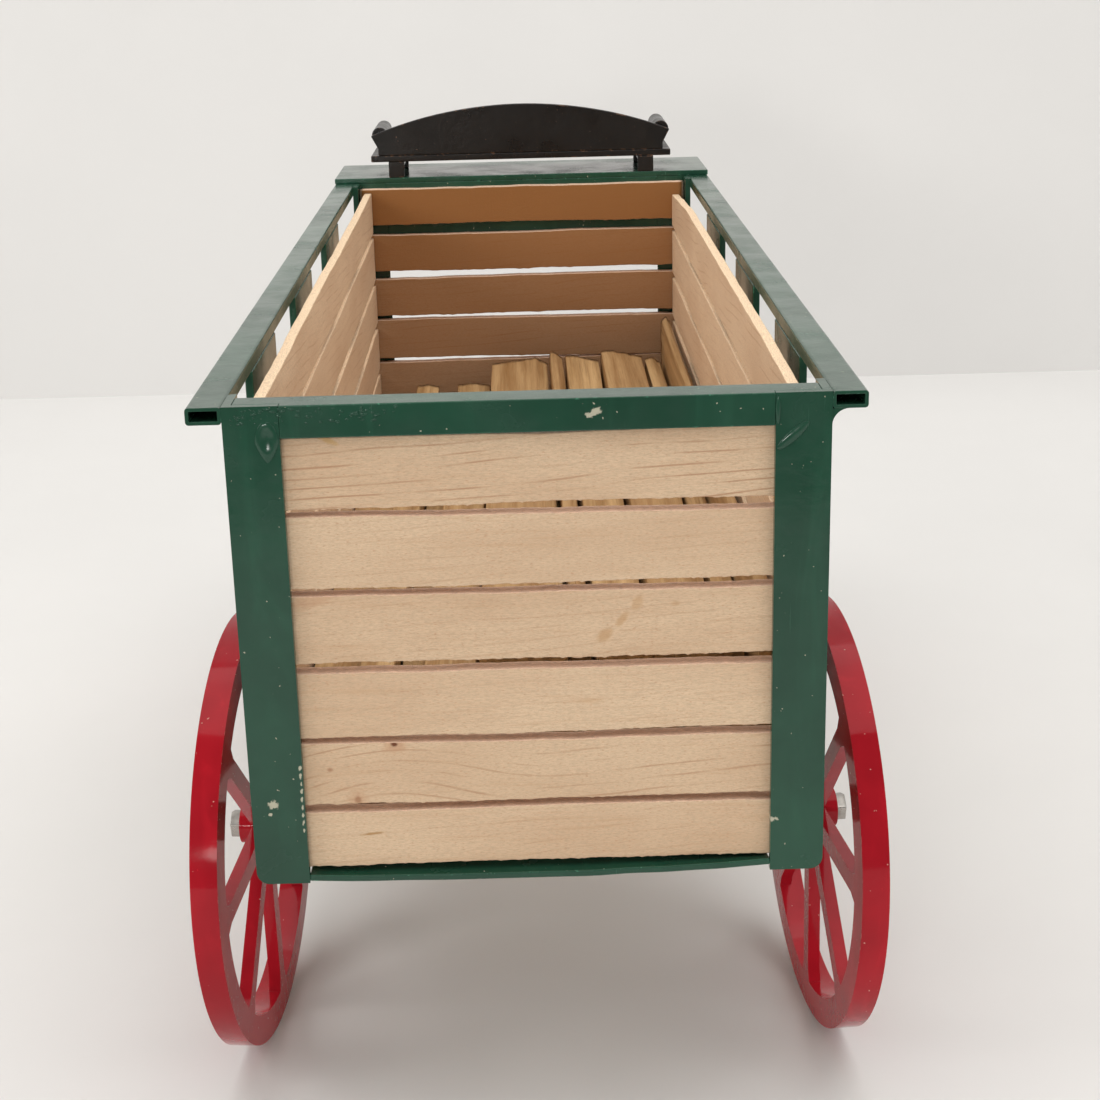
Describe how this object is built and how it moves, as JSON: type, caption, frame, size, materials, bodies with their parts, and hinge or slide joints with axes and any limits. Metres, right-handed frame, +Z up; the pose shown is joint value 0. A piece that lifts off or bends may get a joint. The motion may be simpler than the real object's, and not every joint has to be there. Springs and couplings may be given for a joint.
{
  "type": "four-wheeled farm wagon",
  "caption": "Small farm wagon: steel frame with lath walls, black bench seat, red plate-cut wheels, steering front axle, pole and a load of split wood.",
  "frame": {"origin": "on the ground, under the middle of the overall width and length at rest", "axes": "+X to the right, +Y forwards to the seat and the pole, +Z up"},
  "size_m": [0.279, 0.8924, 0.3647],
  "materials": {
    "green_paint": "gloss enamel",
    "lath": "raw sawn maple",
    "black_paint": "satin enamel, worn on the edges",
    "red_paint": "gloss enamel",
    "zinc": "zinc plated",
    "split_wood": "split, with patches of bark"
  },
  "bodies": {
    "wagon": {"rear_post_left": "green_paint", "rear_post_right": "green_paint", "front_post_left": "green_paint", "front_post_right": "green_paint", "side_rail_left": "green_paint", "side_rail_right": "green_paint", "tail_rail": "green_paint", "front_rail": "green_paint", "sill_left": "green_paint", "sill_right": "green_paint", "tail_floor_bar": "green_paint", "front_floor_bar": "green_paint", "floor_cross_bars": "green_paint", "stakes_left": "green_paint", "stakes_right": "green_paint", "tail_slat_1": "lath", "tail_slat_2": "lath", "tail_slat_3": "lath", "tail_slat_4": "lath", "tail_slat_5": "lath", "tail_slat_6": "lath", "front_slat_1": "lath", "front_slat_2": "lath", "front_slat_3": "lath", "front_slat_4": "lath", "front_slat_5": "lath", "front_slat_6": "lath", "left_slat_1": "lath", "left_slat_2": "lath", "left_slat_3": "lath", "left_slat_4": "lath", "left_slat_5": "lath", "left_slat_6": "lath", "right_slat_1": "lath", "right_slat_2": "lath", "right_slat_3": "lath", "right_slat_4": "lath", "right_slat_5": "lath", "right_slat_6": "lath", "floor_boards": "lath", "seat_plate": "green_paint", "seat_board": "black_paint", "seat_back": "black_paint", "seat_arms": "black_paint", "seat_brackets": "black_paint", "rear_axle": "green_paint", "front_bolster": "green_paint", "king_pin": "zinc", "king_pin_nut": "zinc", "rear_wheel_nuts": "zinc"},
    "front_gear": {"front_axle": "green_paint", "pole_pin": "zinc", "front_wheel_nuts": "zinc"},
    "pole": {"pole": "green_paint"},
    "rear_left": {"rear_wheel_left": "red_paint"},
    "rear_right": {"rear_wheel_right": "red_paint"},
    "front_left": {"front_wheel_left": "red_paint"},
    "front_right": {"front_wheel_right": "red_paint"},
    "load": {"firewood": "split_wood"}
  },
  "joints": [
    {"name": "rear_left_spin", "type": "hinge", "parent": "wagon", "child": "rear_left", "pos_m": [-0.12, -0.32217, 0.096], "axis": [0.9962, -0.0872, 0], "continuous": true},
    {"name": "rear_right_spin", "type": "hinge", "parent": "wagon", "child": "rear_right", "pos_m": [0.12, -0.32217, 0.096], "axis": [0.9962, 0.0872, 0], "continuous": true},
    {"name": "steer", "type": "hinge", "parent": "wagon", "child": "front_gear", "pos_m": [0, 0.07383, 0.065], "axis": [0, 0, 1], "range_deg": [-30, 30]},
    {"name": "front_left_spin", "type": "hinge", "parent": "front_gear", "child": "front_left", "pos_m": [-0.12, 0.07383, 0.065], "axis": [1, 0, 0], "continuous": true},
    {"name": "front_right_spin", "type": "hinge", "parent": "front_gear", "child": "front_right", "pos_m": [0.12, 0.07383, 0.065], "axis": [1, 0, 0], "continuous": true},
    {"name": "pole_lift", "type": "hinge", "parent": "front_gear", "child": "pole", "pos_m": [0, 0.15383, 0.065], "axis": [1, 0, 0], "range_deg": [0, 65]},
    {"name": "load_lift", "type": "slide", "parent": "wagon", "child": "load", "axis": [0, 0, 1], "range_m": [0, 0.25]}
  ]
}
